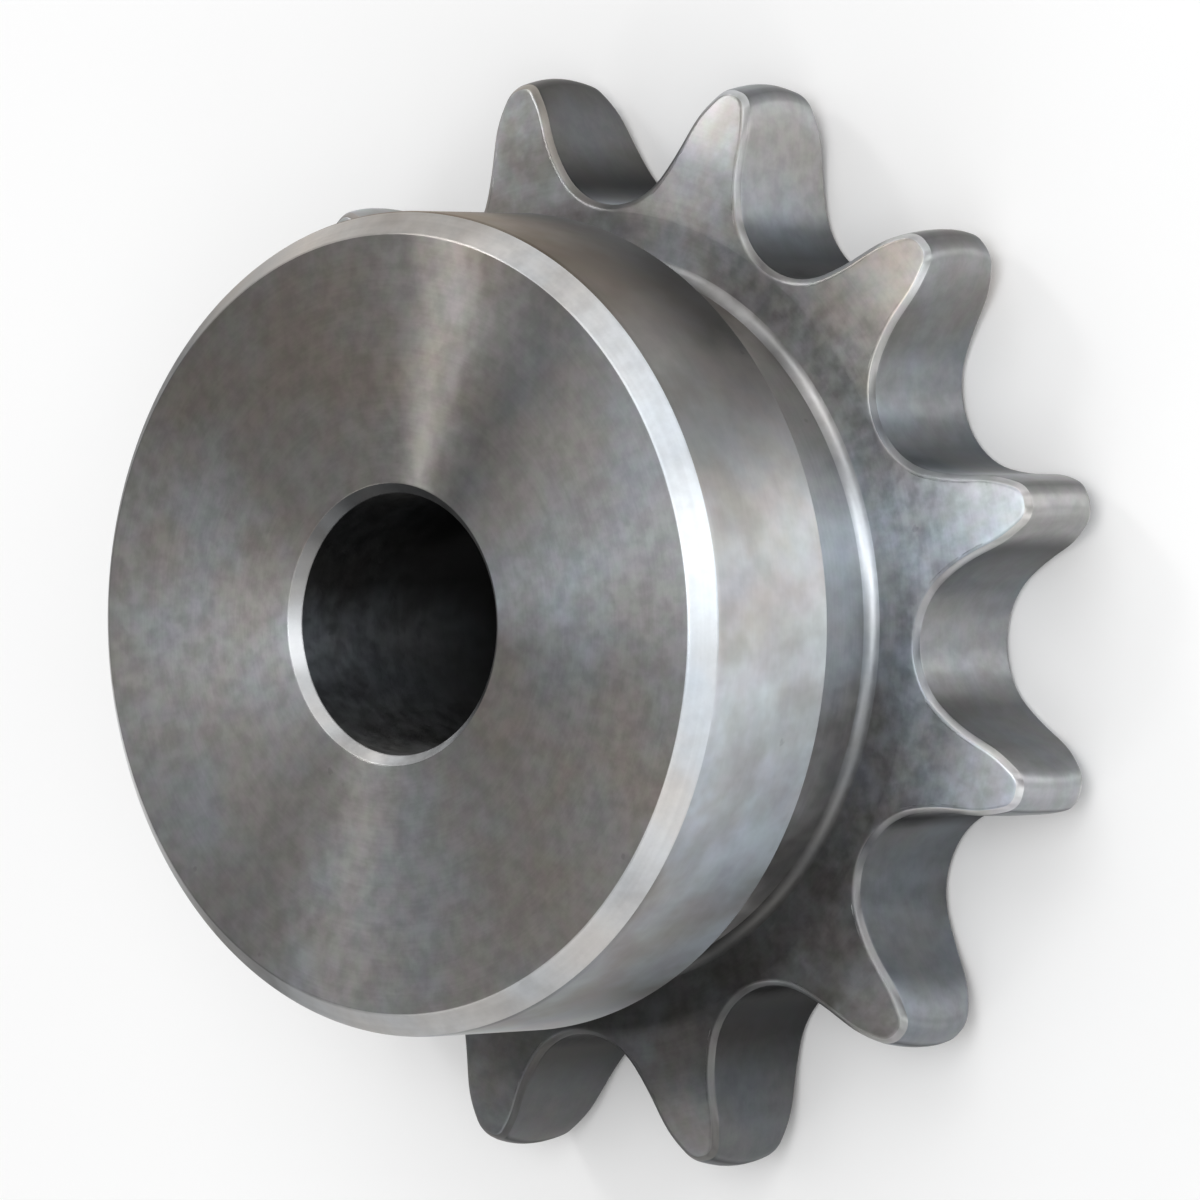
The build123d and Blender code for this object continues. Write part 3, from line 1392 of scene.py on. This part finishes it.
@dataclass(frozen=True)
class Studio:
    """The floor and the lamps."""

    floor_radius: float = 20.0
    floor_points: int = 96
    paper_shade: float = 0.94
    paper_roughness: float = 0.9
    paper_gloss: float = 0.1
    distance: float = 0.9
    ambient: float = 0.42
    softboxes: tuple[Softbox, ...] = (
        Softbox("overhead", 0, 89, 0.5),
        Softbox("key_high", 10, 68, 4.0),
        Softbox("key_middle", -15, 50, 2.5),
        Softbox("key_right", 15, 50, 0.6),
        Softbox("low_front", 10, 12, 3.4),
        Softbox("low_left", -35, 12, 1.5),
        Softbox("side_front", 45, 50, 1.6),
        Softbox("side_middle", 75, 50, 1.6),
        Softbox("streak_low", 120, 36, 3.6, width=10.0),
        Softbox("streak_high", 124, 42, 9.0, width=10.0),
        Softbox("back_high", 145, 68),
        Softbox("back_left", -139, 32, 1.2),
        Softbox("left_front", -45, 50, 0.8),
        Softbox("left_high", -80, 68),
        Softbox("left_middle", -67, 32),
        Softbox("left_low", -103, 32),
    )

    def floor(self) -> bpy.types.Object:
        """Lays the floor: a round sheet at the height of the part's back face."""
        turn = np.linspace(0, 2 * np.pi, self.floor_points, endpoint=False)
        rim = self.floor_radius * np.stack([np.cos(turn), np.sin(turn), 0 * turn], axis=1)
        mesh = bpy.data.meshes.new("floor")
        mesh.from_pydata(rim, [], [range(len(rim))])
        material = bpy.data.materials.new("floor_paper")
        bench = Bench(material)
        paper = bench.add(
            "ShaderNodeBsdfPrincipled",
            {
                "Base Color": (self.paper_shade, self.paper_shade, self.paper_shade, 1.0),
                "Roughness": self.paper_roughness,
                "Specular IOR Level": self.paper_gloss,
            },
        )
        bench.add("ShaderNodeOutputMaterial", {"Surface": paper.outputs["BSDF"]})
        mesh.materials.append(material)
        floor = bpy.data.objects.new("floor", mesh)
        bpy.context.scene.collection.objects.link(floor)
        return floor

    def light(self, centre: Vector) -> None:
        """Hangs the lamps and sets the even light that comes from all round."""
        for softbox in self.softboxes:
            softbox.hang(centre, self.distance)
        world = bpy.data.worlds.new("room")
        world.use_nodes = True
        room = world.node_tree.nodes["Background"]
        room.inputs["Color"].default_value = (1.0, 1.0, 1.0, 1.0)
        room.inputs["Strength"].default_value = self.ambient
        bpy.context.scene.world = world


def main() -> None:
    """Builds the sprocket, its finishes, the studio and the camera."""
    logging.basicConfig(level=logging.INFO, format="%(name)s: %(message)s")
    centre = sum(cad_box, Vector()) / 2
    Viewpoint().place(centre)
    piece = ChainSprocket().build()
    materials = {steel.name: steel.material() for steel in FINISHES.values()}
    for finish in Finish:
        piece.data.materials.append(materials[FINISHES[finish].name])
    studio = Studio()
    studio.floor()
    studio.light(centre)
    bpy.context.scene.view_settings.view_transform = "Standard"


if __name__ == "__main__":
    main()
